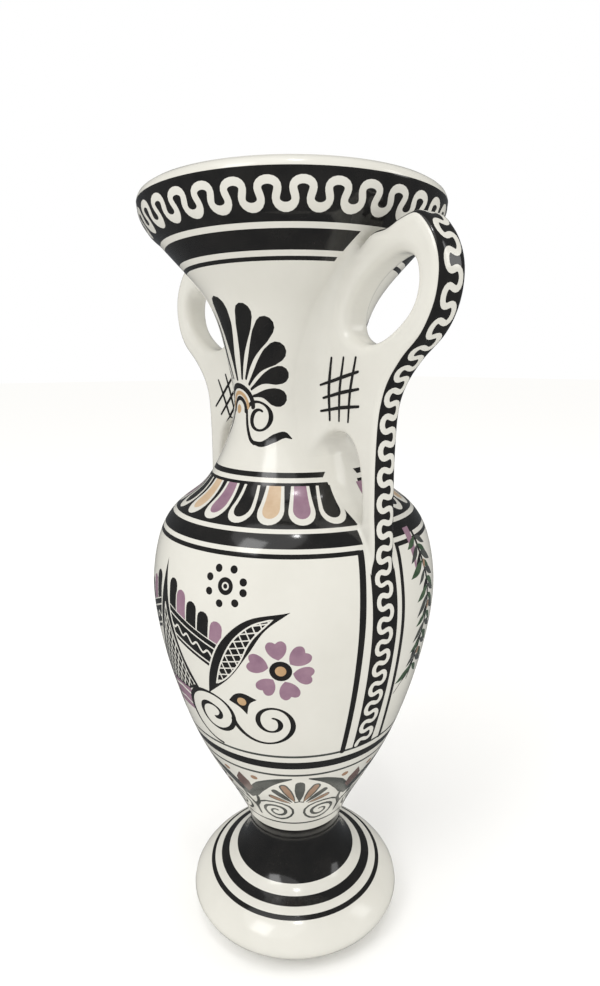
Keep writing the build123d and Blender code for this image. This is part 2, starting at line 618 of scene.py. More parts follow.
def decal(shape, faces, colour, place, angle, lift=0.05):
    """A thin closed skin of paint that lies on a handle."""
    top, normal, under = settle(place, lift)
    up = shape.add(turned(top, angle), turned(normal, angle))
    down = shape.add(turned(under, angle), turned(-normal, angle))
    sides = {}
    for corners, paint in zip(faces, colour):
        shape.face([up + k for k in corners], int(paint))
        shape.face([down + k for k in reversed(corners)], int(paint))
        for p, q in zip(corners, np.roll(corners, -1)):
            sides[(p, q)] = int(paint)
    for (p, q), paint in sides.items():
        if (q, p) not in sides:
            shape.face((up + q, up + p, down + p, down + q), paint)


# The strap's painting: black, with a cream river running down the middle.
RIVER = 8.9
LOOP_RIVER = 10.0
RIVER_FOOT = 1.4
RIVER_REACH = 3.0
RIVER_WIDTH = 2.0
STRAP_FOOT = 160.0
STRAP_START = 50.5
STRAP_ROW = 0.8
STRAP_COLUMNS = 25
SOFT_EDGE = 2.2


def river(length):
    """The river's centre line up the strap: distance along, distance across. Its turns are longer
    on the loop than on the pillar."""
    turns, across = meander(30, 1.8, 24)
    along = np.interp(turns, (0, 10, 30), (0, 10 * RIVER, 10 * RIVER + 20 * LOOP_RIVER)) + RIVER_FOOT
    keep = along <= length
    return along[keep], across[keep] * RIVER_REACH


def compact(faces):
    """Which points the faces use, and the faces numbered among those alone."""
    used, numbers = np.unique(faces, return_inverse=True)
    return used, [tuple(face) for face in numbers.reshape(faces.shape).tolist()]


def strap(name, angle, black, cream):
    """The black band with its river down the outside of a handle."""
    line = np.array(strap_line)
    past_start = (line[:, 0] > STRAP_START) | (line[:, 1] < 240)
    line = line[(line[:, 1] > STRAP_FOOT) & past_start][::-1]
    length = np.concatenate([[0], np.cumsum(np.linalg.norm(np.diff(line, axis=0), axis=1))])
    columns = np.linspace(-LOOP_HALF, LOOP_HALF, STRAP_COLUMNS)
    rows = np.linspace(0, length[-1], int(length[-1] / STRAP_ROW))
    along, across = river(length[-1] + RIVER)
    ahead = np.gradient(np.stack([across, along], 1), axis=0)
    ahead /= np.linalg.norm(ahead, axis=1)[:, None]
    side = np.stack([-ahead[:, 1], ahead[:, 0]], 1) * RIVER_WIDTH / 2
    centre = np.stack([across, along], 1)
    water = np.concatenate([centre + side, (centre - side)[::-1]])
    points, faces, colour = cut_sheet(columns, rows, [(water, 1, None)])
    x = np.interp(points[:, 1], length, line[:, 0])
    z = np.interp(points[:, 1], length, line[:, 1])
    ahead = np.gradient(line, length, axis=0)
    out_x = np.interp(points[:, 1], length, ahead[:, 1])
    out_z = -np.interp(points[:, 1], length, ahead[:, 0])
    # Across the strap the drawing is true in the middle; the margins wrap round the soft edges.
    half = half_width(z) + np.interp(z, (STRAP_FOOT, 185), (0.6, -0.1))
    river_edge = RIVER_REACH + RIVER_WIDTH / 2 + 0.2
    across = abs(points[:, 0])
    margin = river_edge + (across - river_edge) * (half - river_edge) / (LOOP_HALF - river_edge)
    spread = np.where(across < river_edge, across, margin)
    drop = np.interp(z, (176, 190, 220, 240), (0, 0.8, 0.6, 0.3))
    wrap = np.clip((spread - half + SOFT_EDGE) / SOFT_EDGE, 0, 1) ** 2 * drop
    clear_of_body = np.sqrt(np.maximum(outer(z) ** 2 - spread ** 2, 0)) + 0.1
    x = np.where(z < 180, np.maximum(x, clear_of_body), x)
    place = np.stack([x - out_x * wrap, np.sign(points[:, 0]) * spread, z - out_z * wrap], 1)
    used, corners = compact(faces)
    shape = Shape()
    decal(shape, corners, colour, place[used], angle)
    return shape.build(name, [black, cream], 60)


# Loose crossed brush strokes on the web of each handle, on the side that faces the front panel.
HATCH_FOOT, HATCH_TOP = 220.5, 242.0
HATCH_XS, HATCH_ZS = np.arange(24.0, 53.0), np.arange(212.0, 247.0)


def hatch_strokes(angle):
    """Centre lines as (x, z). The right handle has three uprights crossed by three level strokes, the
    left one a slanting net."""
    strokes = []
    for k in range(3):
        if angle < 180:
            strokes.append([(31 + 5 * k, HATCH_FOOT), (30.5 + 5.7 * k, 230), (32.5 + 6.5 * k, HATCH_TOP)])
            strokes.append([(27 + k % 2, 223.5 + 4.6 * k), (36, 225 + 5 * k), (46.5, 226 + 5.7 * k)])
        else:
            strokes.append([(49.5 - 4.2 * k, 221.5 - 3.5 * k), (34.6 - 1.5 * k, 235 - 5 * k)])
            if k < 2:
                strokes.append([(46.5 - 6 * k, 233 + 2.5 * k), (37 - 2.5 * k, 215 + 5 * k)])
    return strokes


def crosshatch(name, angle, black):
    """Crossed strokes, cut together out of one flat sheet and settled on the handle's side."""
    face = -1 if angle < 180 else 1
    lines = [smooth(line, steps=5) for line in hatch_strokes(angle)]
    layers = [(stroke(line, (0.8, 1.15, 1.25, 0.9), flat=True), 1, None) for line in lines]
    points, faces, colour = cut_sheet(HATCH_XS, HATCH_ZS, layers)
    used, corners = compact(faces[colour == 1])
    place = np.stack([points[used, 0], np.full(len(used), 6.5 * face), points[used, 1]], 1)
    if face == 1:
        corners = [c[::-1] for c in corners]
    shape = Shape()
    decal(shape, corners, [0] * len(corners), place, angle, 0.12)
    return shape.build(name, [black], 60)


# -------- glazes


def add_node(nodes, kind, values):
    """A shader node of this kind with these input values."""
    node = nodes.new("ShaderNode" + kind)
    for key, value in values.items():
        node.inputs[key].default_value = value
    return node


def glaze(name, base, other, rough, grain):
    """A glossy brushed glaze: two tones mixed by soft blotches, over slightly uneven clay."""
    material = bpy.data.materials.new(name)
    material.use_nodes = True
    nodes, links = material.node_tree.nodes, material.node_tree.links
    shader = nodes["Principled BSDF"]
    shader.inputs["IOR"].default_value = 1.5
    place = nodes.new("ShaderNodeTexCoord")
    cloud = add_node(nodes, "TexNoise", {"Scale": grain, "Detail": 4.0, "Roughness": 0.6})
    blotches = add_node(nodes, "MapRange", {"From Min": 0.3, "From Max": 0.7})
    gloss = add_node(nodes, "MapRange", {"To Min": rough, "To Max": rough * 1.6})
    uneven = add_node(nodes, "TexNoise", {"Scale": 220.0, "Detail": 2.0})
    bump = add_node(nodes, "Bump", {"Strength": 0.12, "Distance": 0.0002})
    mix = nodes.new("ShaderNodeMix")
    mix.data_type = "RGBA"
    mix.inputs["A"].default_value = (*base, 1)
    mix.inputs["B"].default_value = (*other, 1)
    links.new(place.outputs["Object"], cloud.inputs["Vector"])
    links.new(cloud.outputs["Fac"], blotches.inputs["Value"])
    links.new(blotches.outputs["Result"], mix.inputs["Factor"])
    links.new(mix.outputs["Result"], shader.inputs["Base Color"])
    links.new(cloud.outputs["Fac"], gloss.inputs["Value"])
    links.new(gloss.outputs["Result"], shader.inputs["Roughness"])
    links.new(place.outputs["Object"], uneven.inputs["Vector"])
    links.new(uneven.outputs["Fac"], bump.inputs["Height"])
    links.new(bump.outputs["Normal"], shader.inputs["Normal"])
    return material


cream = glaze("cream_glaze", (0.69, 0.677, 0.618), (0.73, 0.717, 0.66), 0.10, 40.0)
black = glaze("black_glaze", (0.010, 0.010, 0.010), (0.018, 0.017, 0.016), 0.09, 90.0)
purple = glaze("purple_glaze", (0.25, 0.145, 0.205), (0.33, 0.205, 0.265), 0.12, 160.0)
orange = glaze("orange_glaze", (0.56, 0.40, 0.26), (0.64, 0.49, 0.34), 0.12, 200.0)
brown = glaze("brown_glaze", (0.28, 0.17, 0.11), (0.36, 0.23, 0.15), 0.12, 160.0)
mauve = glaze("mauve_glaze", (0.12, 0.08, 0.07), (0.16, 0.105, 0.095), 0.12, 160.0)
grey = glaze("grey_glaze", (0.038, 0.042, 0.038), (0.080, 0.085, 0.078), 0.12, 160.0)
ochre = glaze("ochre_glaze", (0.46, 0.29, 0.15), (0.54, 0.37, 0.21), 0.12, 200.0)
leaf_green = glaze("leaf_green_glaze", (0.025, 0.055, 0.028), (0.07, 0.12, 0.065), 0.12, 160.0)
PALETTE = [cream, black, purple, orange, brown, mauve, grey, leaf_green, ochre]
CREAM, BLACK, PURPLE, ORANGE, BROWN, MAUVE, GREY, LEAF_GREEN, OCHRE = range(9)


def finish_piece(piece, node):
    """Hangs a piece on the root body and hides the CAD node it stands for."""
    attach(piece, "root")
    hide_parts(node)


# -------- the painting

foot_paint = Paint(0, 44)
belly_paint = Paint(44, 178)
shoulder_paint = Paint(178, 205)
neck_paint = Paint(205, 239.4)
mouth_paint = Paint(239.4, 283.5)
rim_paint = Paint(283.5, 297.4)
EVERYWHERE = (foot_paint, belly_paint, shoulder_paint, neck_paint, mouth_paint, rim_paint)
BACK = 180.0
# The front and the back field, each from one handle to the other.
FIELDS = ((HANDLE_ANGLES[1] - 360, HANDLE_ANGLES[0]), HANDLE_ANGLES)


def shifted(points, angle):
    """The same outline further round the vessel."""
    return [(a + angle, z) for a, z in points]


def fill(paints, outline, colour):
    """Paints a closed outline, wherever it lies round the vessel, on these sections."""
    middle = np.mean([a for a, _ in outline])
    turn = -360 * round((middle - SEAM_ANGLE - 180) / 360)
    for paint in paints:
        paint.area(shifted(outline, turn), colour)


def brush(paints, points, width, colour, closed=False):
    """A brush line on whichever of these sections it crosses."""
    fill(paints, stroke(points, width, closed), colour)


def ring_band(low, high, colour, start=None, stop=None):
    """A painted ring from low to high. With start and stop it leaves a gap round each handle:
    the gap's half width is start at the top and stop at the bottom, in degrees."""
    crossed = [paint for paint in EVERYWHERE if high > paint.low and low < paint.high]
    if start is None:
        left, right = SEAM_ANGLE - 1, SEAM_ANGLE + 361
        for paint in crossed:
            paint.area([(left, low), (right, low), (right, high), (left, high)], colour)
        return
    for left, right in FIELDS:
        corners = [(left + stop, low), (right - stop, low), (right - start, high), (left + start, high)]
        fill(crossed, corners, colour)


# Foot and waist.
ring_band(20.65, 21.55, BLACK)
ring_band(22.9, 24.55, BLACK)
ring_band(27.1, 48.7, BLACK)

# Rim and mouth: a river on the lip, then two bands that stop short of the handles.
ring_band(282.6, 296.4, BLACK)
ring_band(275.5, 281.0, BLACK, 6.8, 11.3)
ring_band(272.7, 273.9, BLACK, 13.0, 13.8)
LIP_TURNS = 33
LIP_START = SEAM_ANGLE + 5.0
turns_along, turns_across = meander(LIP_TURNS, 1.78, 26)
lip_river = [(LIP_START + 360 * a / LIP_TURNS, 289.3 + 3.4 * b) for a, b in zip(turns_along, turns_across)]
lip_river = shifted(lip_river[-40:-1], -360) + lip_river
rim_paint.area(stroke(lip_river, 2.35), CREAM)

# Shoulder: a ring of tongues between bands, open at the handles.
ring_band(200.1, 201.9, BLACK, 12.0, 14.4)
ring_band(185.3, 198.5, BLACK, 12.0, 5.5)
ring_band(179.6, 184.0, BLACK, 6.2, 5.6)
ring_band(176.6, 178.1, BLACK, 8.6, 8.6)

TONGUE_STEP = 15.2
TONGUE_COLOURS = (ORANGE, PURPLE, BLACK)


def tongue(angle, half, low, high):
    """A tongue hanging from the top of the band, narrower above, with a round end."""
    outline = [(angle - half * 0.84, high), (angle + half * 0.84, high)]
    for k in range(13):
        a = math.pi * k / 12
        outline.append((angle + half * math.cos(a), low + (half * 0.8) * (1 - math.sin(a)) * 0.75))
    return outline


for side in (0.0, BACK):
    for k in range(-5, 6):
        angle = side - 0.6 + TONGUE_STEP * k
        fill([shoulder_paint], tongue(angle, 6.6, 186.3, 197.5), CREAM)
        fill([shoulder_paint], tongue(angle, 4.4, 188.0, 197.5), TONGUE_COLOURS[k % 3])

# Lower belly: the lines over and under the field of small palmettes.
ring_band(98.3, 99.4, GREY)
ring_band(92.1, 95.8, BLACK)
ring_band(87.8, 88.9, GREY)
ring_band(53.6, 54.5, GREY)

# Under each handle the strap's band runs on down the belly between two thin lines.
BAND_HALF = 5.75
FIELD_FOOT = 98.8
FIELD_TOP = 177.4
BELLY_RIVER = 8.5
BELLY_RIVER_TOP = 161.6 + BELLY_RIVER
BELLY = [belly_paint]
BODY = [belly_paint, shoulder_paint]
# The frame lines beside the band, as degrees from the handle and height, one on the side of the front
# field and one on the side of the back field, with their widths.
FRONT_FRAME = ((8.4, FIELD_TOP), (9.5, 160), (10.0, 145), (10.5, 120), (11, FIELD_FOOT))
BACK_FRAME = ((9.6, FIELD_TOP), (9.0, 162), (9.3, 130), (10.4, 110), (11.8, FIELD_FOOT))
FRAMES = ((FRONT_FRAME, 1, (2.5, 2.6, 2.3, 2.1)), (BACK_FRAME, -1, (1.8, 1.8, 1.7)))
for centre in HANDLE_ANGLES:
    half_band = [(BAND_HALF, FIELD_FOOT), (BAND_HALF, FIELD_TOP), (4.9, 182.0)]
    fill(BODY, shifted(half_band + sided(half_band[::-1], -1), centre), BLACK)
    points = []
    for turn, reach in zip(*meander(10, 1.8, 24)):
        height = BELLY_RIVER_TOP - turn * BELLY_RIVER
        if height > FIELD_FOOT + 0.6:
            points.append((centre - reach * RIVER_REACH / degree_mm(height), height))
    brush(BODY, points, 1.8, CREAM)
    front = -1 if centre < 180 else 1
    for line, way, widths in FRAMES:
        brush(BELLY, smooth(shifted(sided(line, front * way), centre)), widths, BLACK)

# ---- the front field, drawn for its right half and mirrored


def hatch(outline, centre, headings, width, reach):
    """Cream lines across the belly, clipped to an outline, with the spacing of each heading."""
    scale = degree_mm(centre[1])
    for heading, step in headings:
        along, across = math.radians(heading), math.radians(heading + 90)
        half = np.array([math.cos(along) * reach / scale, math.sin(along) * reach])
        for k in range(-int(reach / step), int(reach / step) + 1):
            start = centre + np.array([math.cos(across) * step * k / scale, math.sin(across) * step * k])
            belly_paint.area(stroke([start - half, start + half], width), CREAM, outline)


feathers = (((6.4, 151), (6.2, 162.4), BLACK), ((11.0, 149), (11.3, 159.2), PURPLE),
            ((16.2, 147), (17.0, 156.4), BLACK), ((21.4, 144), (22.6, 154.0), BLACK),
            ((26.4, 141), (28.2, 151.5), PURPLE))
for foot_at, top_at, colour in feathers:
    for line in both([foot_at, top_at]):
        brush(BELLY, line, 6.0, CREAM)
        brush(BELLY, line, 5.0, colour)

BAND_START, BAND_STOP = 4.0, 28.5
BAND_TOP = 153.6
BAND_SLOPE = -0.385


def band_height(angle, depth):
    """The height at a depth under the upper edge of the slanting band."""
    return BAND_TOP + BAND_SLOPE * (angle - 6) - depth


def band_strip(upper, lower):
    """A strip of the slanting band, between two depths under its upper edge."""
    corners = ((BAND_START, upper), (BAND_STOP, upper), (BAND_STOP, lower), (BAND_START, lower))
    return [(angle, band_height(angle, depth)) for angle, depth in corners]


band_wave = [(a, band_height(a, 6.0) + 1.05 * math.sin(2 * math.pi * (a - 7.4) / 5.0))
             for a in np.linspace(BAND_START, BAND_STOP, 90)]
for upper, lower, colour in ((-0.4, 13.2, CREAM), (0, 2.1, BLACK), (2.7, 9.3, BLACK), (10.0, 11.3, BLACK)):
    for strip in both(band_strip(upper, lower)):
        fill(BELLY, strip, colour)
for line in both(band_wave):
    brush(BELLY, line, 0.75, CREAM)

# The calyx under the middle leaf.
fill(BELLY, [(-8.5, 122), (8.5, 122), (8.5, 116), (6.6, 110.8), (-6.6, 110.8), (-8.5, 116)], PURPLE)
for height, width in ((118.6, 1.0), (113.4, 0.8)):
    brush(BELLY, [(-9, height - 0.6), (0, height + 0.8), (9, height - 0.6)], width, CREAM)

# The middle leaf.
middle_edge = smooth([(0, 171), (1.8, 160), (3.5, 151.5), (8.5, 135.5), (15, 124)])
middle_leaf = middle_edge + [(8.0, 121.0), (-8.0, 121.0)] + sided(middle_edge, -1)[::-1]
middle_core_edge = smooth([(0, 154), (1.5, 148.5), (4, 141.5), (9.5, 128.5), (12.5, 124.5)])
middle_core = middle_core_edge + [(7.5, 121.6), (-7.5, 121.6)] + sided(middle_core_edge, -1)[::-1]
for line in both(shifted(middle_edge, 0.35)):
    brush(BELLY, line, 0.9, CREAM)
fill(BELLY, middle_leaf, BLACK)
hatch(middle_core, (0, 136), ((62, 2.6), (118, 2.6)), 0.5, 22)
for line in both(middle_core_edge):
    brush(BELLY, line, 0.55, CREAM)

# The side leaves.
LEAF_FOOT, LEAF_TIP = (20.5, 123.5), (55, 159.5)
CORE_FOOT, CORE_TIP = (25.5, 129), (49, 157)
leaf_edge = smooth([LEAF_FOOT, (23.5, 134.5), (30, 147), (40, 156), LEAF_TIP])
leaf_edge += smooth([LEAF_TIP, (46.5, 153), (40, 143.5), (32, 133), LEAF_FOOT])[1:-1]
leaf_core = smooth([CORE_FOOT, (29, 138.5), (35, 148.5), (42, 154.5), CORE_TIP])
leaf_core += smooth([CORE_TIP, (41.5, 149), (36, 139), (30.5, 132.5), CORE_FOOT])[1:-1]
for way in (1, -1):
    edge, core = sided(leaf_edge, way), sided(leaf_core, way)
    brush(BELLY, edge, 1.3, CREAM, closed=True)
    fill(BELLY, edge, BLACK)
    lean = (112, 12) if way == 1 else (68, 168)
    hatch(core, (way * 37, 143), ((lean[0], 2.9), (lean[1], 2.5)), 0.45, 24)
    brush(BELLY, core, 0.55, CREAM, closed=True)

# Scrolls.


def scroll(centre, start, way, radii, thick_at):
    """The line and the widths of a brush scroll round a centre, clockwise for way -1. It has its radius
    at each quarter turn, and the brush presses hardest towards thick_at and on the opposite side."""
    scale = degree_mm(centre[1])
    shrink = Curve(np.arange(len(radii)), radii)
    line, widths = [], []
    for quarter in np.linspace(0, len(radii) - 1, 10 * len(radii)):
        turn = start + way * 90 * quarter
        reach = float(shrink(quarter))
        line.append((centre[0] + reach * math.cos(math.radians(turn)) / scale,
                     centre[1] + reach * math.sin(math.radians(turn))))
        widths.append(1.4 + 0.5 * math.cos(math.radians(2 * (turn - thick_at))))
    widths[-1] = 0.6
    return line, widths


SCROLLS = (((20.5, 115), -90, -1, (15, 12, 8.7, 9, 7.5, 5.8, 3.5, 3.4, 2), -25),
           ((47.5, 115), -178, 1, (15.2, 9, 7.2, 7, 5.2, 3.6, 2.7, 2.6), -10))
for drawn in SCROLLS:
    line, widths = scroll(*drawn)
    for side in both(line):
        brush(BELLY, side, widths, BLACK)


def heart(centre, heading, near, size):
    """A petal shaped like a heart, its point towards the flower's centre."""
    half = smooth([(0, 0), (1.2, 1.8), (3.2, 3.2), (5.6, 3.5), (7.0, 2.4), (7.0, 1.1), (6.3, 0)], steps=4)
    petal = half + [(x, -y) for x, y in half[-2:0:-1]]
    return laid([(near + x * size, y * size) for x, y in petal], centre, heading)


def flower(centre):
    """Six purple hearts round a dark ring."""
    for k, heading in enumerate((99, 41, -11, -71, -129, 165)):
        turn = heading if centre[0] > 0 else 180 - heading
        fill(BELLY, heart(centre, turn, 4.3, 1.0 + 0.06 * (k % 2)), PURPLE)
    fill(BELLY, oval(*centre, 3.95, 3.9), BLACK)
    fill(BELLY, oval(*centre, 1.95, 1.95), OCHRE)


def rosette(centre):
    """A ring with a dot in it, in a circle of eight dots."""
    way = 1 if centre[0] > 0 else -1
    fill(BELLY, oval(*centre, 2.9, 3.0), BLACK)
    fill(BELLY, oval(*centre, 1.35, 1.4), CREAM)
    fill(BELLY, oval(*centre, 0.8, 0.85), BLACK)
    reach = 6.9
    for heading in (158, 117, 66, 18, -14, -56, -107, -157):
        a = math.radians(heading)
        angle = centre[0] + way * math.cos(a) * reach / degree_mm(centre[1])
        fill(BELLY, oval(angle, centre[1] + math.sin(a) * reach * 0.92, 1.35, 1.35), BLACK)


seed = smooth([(30.0, 123.0), (33.0, 126.2), (36.4, 127.2), (41.9, 125.2)], steps=4)
seed += smooth([(41.9, 125.2), (38.8, 123.0), (37.2, 118.0)], steps=4)[1:]
seed += smooth([(37.2, 118.0), (34.4, 120.8), (30.0, 123.0)], steps=4)[1:-1]
for way in (1, -1):
    flower((way * 51.4, 137.9))
    rosette((way * 31.7, 166.7))
    fill(BELLY, sided(seed, way), BLACK)
    fill(BELLY, oval(way * 35.6, 123.5, 1.75, 1.7), OCHRE)

# ---- the palmette on the neck

NECK = [neck_paint, mouth_paint]
NECK_AXIS = -3.3
# The petals of the right half from the top down: foot and head as angle from the axis and height, and
# the width of the head. The swell is the part of that width from foot to head.
PETALS = (((0, 234.5), (0, 259.3), 9.6), ((8.5, 234.8), (23.5, 257.3), 7.4), ((14, 234.8), (39, 252.8), 7.2),
          ((17, 232.7), (46.5, 244.2), 7.2), ((19, 231), (48.5, 236.2), 6.5), ((21, 228.5), (46, 228), 6.6))
PETAL_SWELL = (0.15, 0.22, 0.38, 0.66, 0.94, 1.0)
# The arches over the palmette's foot: half width in degrees, foot, crown, brush width and colour.
ARCHES = ((20, 224.6, 232.1, 2.1, BLACK), (13.3, 224.2, 229.5, 1.5, OCHRE), (10.2, 223, 227.5, 1.7, BLACK))
CURL = ((29.5, 220.8), 165, -1, (8.2, 4.9, 4.1, 4.7, 3.9, 2.2), 0)
STEM = ((11.2, 224.6), (14, 218.5), (21, 213), (26, 211.4))
STEM_LEAF = ((22.5, 212.1), (33, 211.3), (44, 213.6), (52, 214.8), (58, 213.6))


def arch_line(half, foot, crown):
    """Half an ellipse from foot to foot."""
    turns = np.radians(np.linspace(-90, 90, 25))
    return [(half * math.sin(a), foot + (crown - foot) * math.cos(a)) for a in turns]


def palmette(axis):
    """The neck's large palmette, with its curls and leaves, about an axis."""
    for foot_at, head, width in PETALS:
        middle = ((foot_at[0] + head[0]) / 2, (foot_at[1] + head[1]) / 2 + 0.02 * head[0])
        line = smooth([foot_at, middle, head], steps=8)
        for side in both(line) if head[0] else [line]:
            brush(NECK, shifted(side, axis), [width * swell for swell in PETAL_SWELL], BLACK)
    curl, curl_widths = scroll(*CURL)
    parts = ((curl, curl_widths), (smooth(STEM), 1.3), (smooth(STEM_LEAF), (0.9, 2.0, 3.0, 2.4, 0.5)))
    for line, widths in parts:
        for side in both(line):
            brush(NECK, shifted(side, axis), widths, BLACK)
    for half, foot, crown, width, colour in ARCHES:
        brush(NECK, shifted(arch_line(half, foot, crown), axis), width, colour)
    fill(NECK, oval(axis - 1.5, 223.4, 1.7, 1.7), OCHRE)


palmette(NECK_AXIS)
palmette(NECK_AXIS + BACK)

# ---- the field under the belly: five small palmettes under arches, with petals between

LOW_COUNT = 5
LOW_STEP = 360 / LOW_COUNT
LOW_FIRST = 59.2
# The small petals of the right half: foot, tip, width and the colour of the core, if it has one.
LOW_PETALS = (((3.2, 70.4), (9.8, 80.6), 3.6, BROWN), ((5.2, 70.0), (15.8, 77.2), 2.6, None),
              ((6.6, 69.2), (19.0, 73.2), 2.3, BROWN))
LOW_ARCH = smooth([(5.0, 86.0), (14, 84.0), (23.5, 79.6), (31.5, 73.4), (36, 69.6)])
LOW_TAIL = smooth([(36.5, 72.0), (31.0, 71.6), (31.5, 67.0), (35.5, 63.0), (36.0, 57.5)])
LOW_DROP = ((0, 85.0), (4.6, 80.4), (5.2, 76.4), (0, 72.6), (-5.2, 76.4), (-4.6, 80.4))
COIL_CENTRE, COIL_REACH = (18.2, 62.3), (16.2, 7.3)


def low_coil():
    """A spiral of a little over two turns, from its wide end in."""
    line = []
    for turn in np.linspace(0, 1, 34):
        a = math.radians(40 + 800 * turn)
        size = 1.0 - 0.86 * turn
        line.append((COIL_CENTRE[0] + COIL_REACH[0] * size * math.cos(a),
                     COIL_CENTRE[1] + COIL_REACH[1] * size * math.sin(a)))
    return line


LOW_LINES = ((low_coil(), (1.0, 1.0, 1.3, 1.5, 1.1, 0.9)), (LOW_ARCH, (0.8, 3.0, 5.2, 4.8, 1.6)),
             (LOW_TAIL, (0.9, 1.5, 1.7, 1.0)))


def low_petal(axis, foot, tip, width, core):
    """A grey petal, with a core of another colour if one is given."""
    middle = ((foot[0] + tip[0]) / 2, (foot[1] + tip[1]) / 2)
    path = shifted(smooth([foot, middle, tip]), axis)
    brush(BELLY, path, (0.5, width * 0.75, width * 1.05, width), GREY)
    if core is not None:
        brush(BELLY, path, (0.2, width * 0.45, width * 0.7, width * 0.62), core)


def low_palmette(axis):
    """A small palmette over two spirals, under its arches."""
    low_petal(axis, (0, 70.6), (0, 82.2), 3.9, None)
    for way in (1, -1):
        for foot, tip, width, core in LOW_PETALS:
            low_petal(axis, (way * foot[0], foot[1]), (way * tip[0], tip[1]), width, core)
        for line, widths in LOW_LINES:
            brush(BELLY, shifted(sided(line, way), axis), widths, GREY)
    brush(BELLY, shifted([(-3.0, 69.8), (0, 70.3), (3.0, 69.8)], axis), 0.7, GREY)


for k in range(LOW_COUNT):
    low_palmette(LOW_FIRST + LOW_STEP * k)
    gap = LOW_FIRST + LOW_STEP * (k + 0.5)
    fill(BELLY, shifted(LOW_DROP, gap), PURPLE if k % 2 else MAUVE)
    for way in (1, -1):
        fill(BELLY, oval(gap + way * 9.5, 84.2, 1.5, 1.2), BROWN)

# ---- the back field: a tall vine, and a flower, a rosette, a pennant and a garland at each side

VINE = [(BACK + 5 * math.sin(z / 9.0), z) for z in np.linspace(103, 172, 40)]
brush(BELLY, VINE, (1.6, 1.2, 1.0, 0.7), BLACK)


def vine_leaf(foot_at, heading, size, colour):
    """A pointed leaf, bowed to one side."""
    upper = smooth([(0, 0), (3, 1.6), (6, 2.3), (9, 1.7), (13, 0)], steps=4)
    lower = smooth([(13, 0), (9, -1.1), (6, -1.5), (3, -1.1), (0, 0)], steps=4)
    fill(BELLY, laid([(x * size, y * size) for x, y in upper + lower[1:-1]], foot_at, heading), colour)
    if size > 0.9:
        brush(BELLY, laid([(2.0 * size, 0), (10.0 * size, 0)], foot_at, heading), 0.4, CREAM)


for k, foot_at in enumerate(VINE[1::3]):
    size = 1.35 - 0.04 * k
    colour = (BLACK, LEAF_GREEN)[k % 2]
    vine_leaf(foot_at, 34 + 6 * (k % 3), size, colour)
    vine_leaf((foot_at[0], foot_at[1] + 2), 146 - 6 * (k % 3), size, colour)

# A purple pennant hangs over the field's frame, and beside it a garland of small leaves.
PENNANT = ((72.6, 181.6), (68.2, 181.6), (68.6, 175), (69.8, 169), (70.8, 163.6), (71.6, 169), (72.4, 175))
GARLAND = ((67, 180.6), (65.6, 172), (62.6, 162), (62.4, 152), (64.4, 141), (67, 131), (70, 122.4))
SPRIG = ((78.2, 119.0), (74.0, 123.0), (71.0, 125.6))
for way in (1, -1):
    flower((BACK + way * 42.0, 140.0))
    rosette((BACK + way * 34.0, 165.5))
    fill(BODY, shifted(sided(PENNANT, way), BACK), PURPLE)
    garland = smooth(shifted(sided(GARLAND, way), BACK))
    brush(BODY, garland, (1.7, 1.4, 1.6, 1.6, 1.2, 0.6), BLACK)
    for k, (angle, height) in enumerate(garland[2:-3:2]):
        colour = (LEAF_GREEN, GREY, BLACK)[k % 3]
        vine_leaf((angle, height), 205 + 14 * (k % 3), 0.62 + 0.09 * (k % 4), colour)
        vine_leaf((angle, height), -28 - 12 * (k % 2), 0.66 + 0.08 * (k % 3), (GREY, LEAF_GREEN)[k % 2])
        if k % 5 == 3:
            fill(BELLY, oval(angle - way * 1.2, height - 1.5, 1.0, 1.6, way * 20), BROWN)
    brush(BELLY, shifted(sided(SPRIG, way), BACK), 0.5, BLACK)

# -------- sections of the vessel

# The inner face has two parts: the inside of the vessel, and the recess under the foot.
WALL_LOWEST, RECESS_HIGHEST = 50, 30
wall_heights = inner.x[inner.x > WALL_LOWEST]
recess_heights = inner.x[inner.x < RECESS_HIGHEST]


def inside_wall(high, low, step=3.0):
    """(radius, height) down the inside of the wall."""
    count = max(2, int((high - low) / step))
    return [(float(inner(z)), z) for z in np.linspace(high, low, count)]


def section(name, paint, path, tip=None, bottom=None, bottom_tip=None):
    """One thrown section: a painted outer skin, then plain clay along a path from its top ring down to
    its low ring, or to the axis at height tip. The foot and the belly are closed below as well."""
    shape = Shape()
    low_ring, high_ring = painted_skin(shape, paint.low, paint.high, paint.layers)
    path_rings(shape, high_ring, path, None if tip is not None else low_ring, tip)
    if bottom_tip is not None:
        path_rings(shape, low_ring, bottom, None, bottom_tip, back=True)
    used = sorted(set(shape.colours))
    shape.colours = [used.index(c) for c in shape.colours]
    finish_piece(shape.build(name + "_ware", [PALETTE[c] for c in used]), name)


SEAMS = {name: (box_mm(name)[0][2], box_mm(name)[1][2]) for name in SECTIONS}
floor_top = float(wall_heights[0])
recess = [(float(inner(z)), z) for z in np.linspace(0, recess_heights[-1], 14)]
over_lip = [(float(outer(z)), z) for z in (298.1, 298.7, 299.2, 299.6, 299.85)] + [(54.0, 300.0)]
over_lip += [(float(inner(z)), z) for z in (299.85, 299.6, 299.1, 298.6)]
section("foot", foot_paint, [], SEAMS["foot"][1], recess, float(recess_heights[-1]))
section("belly", belly_paint, inside_wall(SEAMS["belly"][1], floor_top), floor_top, [], SEAMS["belly"][0])
for name, paint in (("shoulder", shoulder_paint), ("neck", neck_paint), ("mouth", mouth_paint)):
    section(name, paint, inside_wall(SEAMS[name][1], SEAMS[name][0]))
section("rim", rim_paint, over_lip + inside_wall(296, SEAMS["rim"][0]))

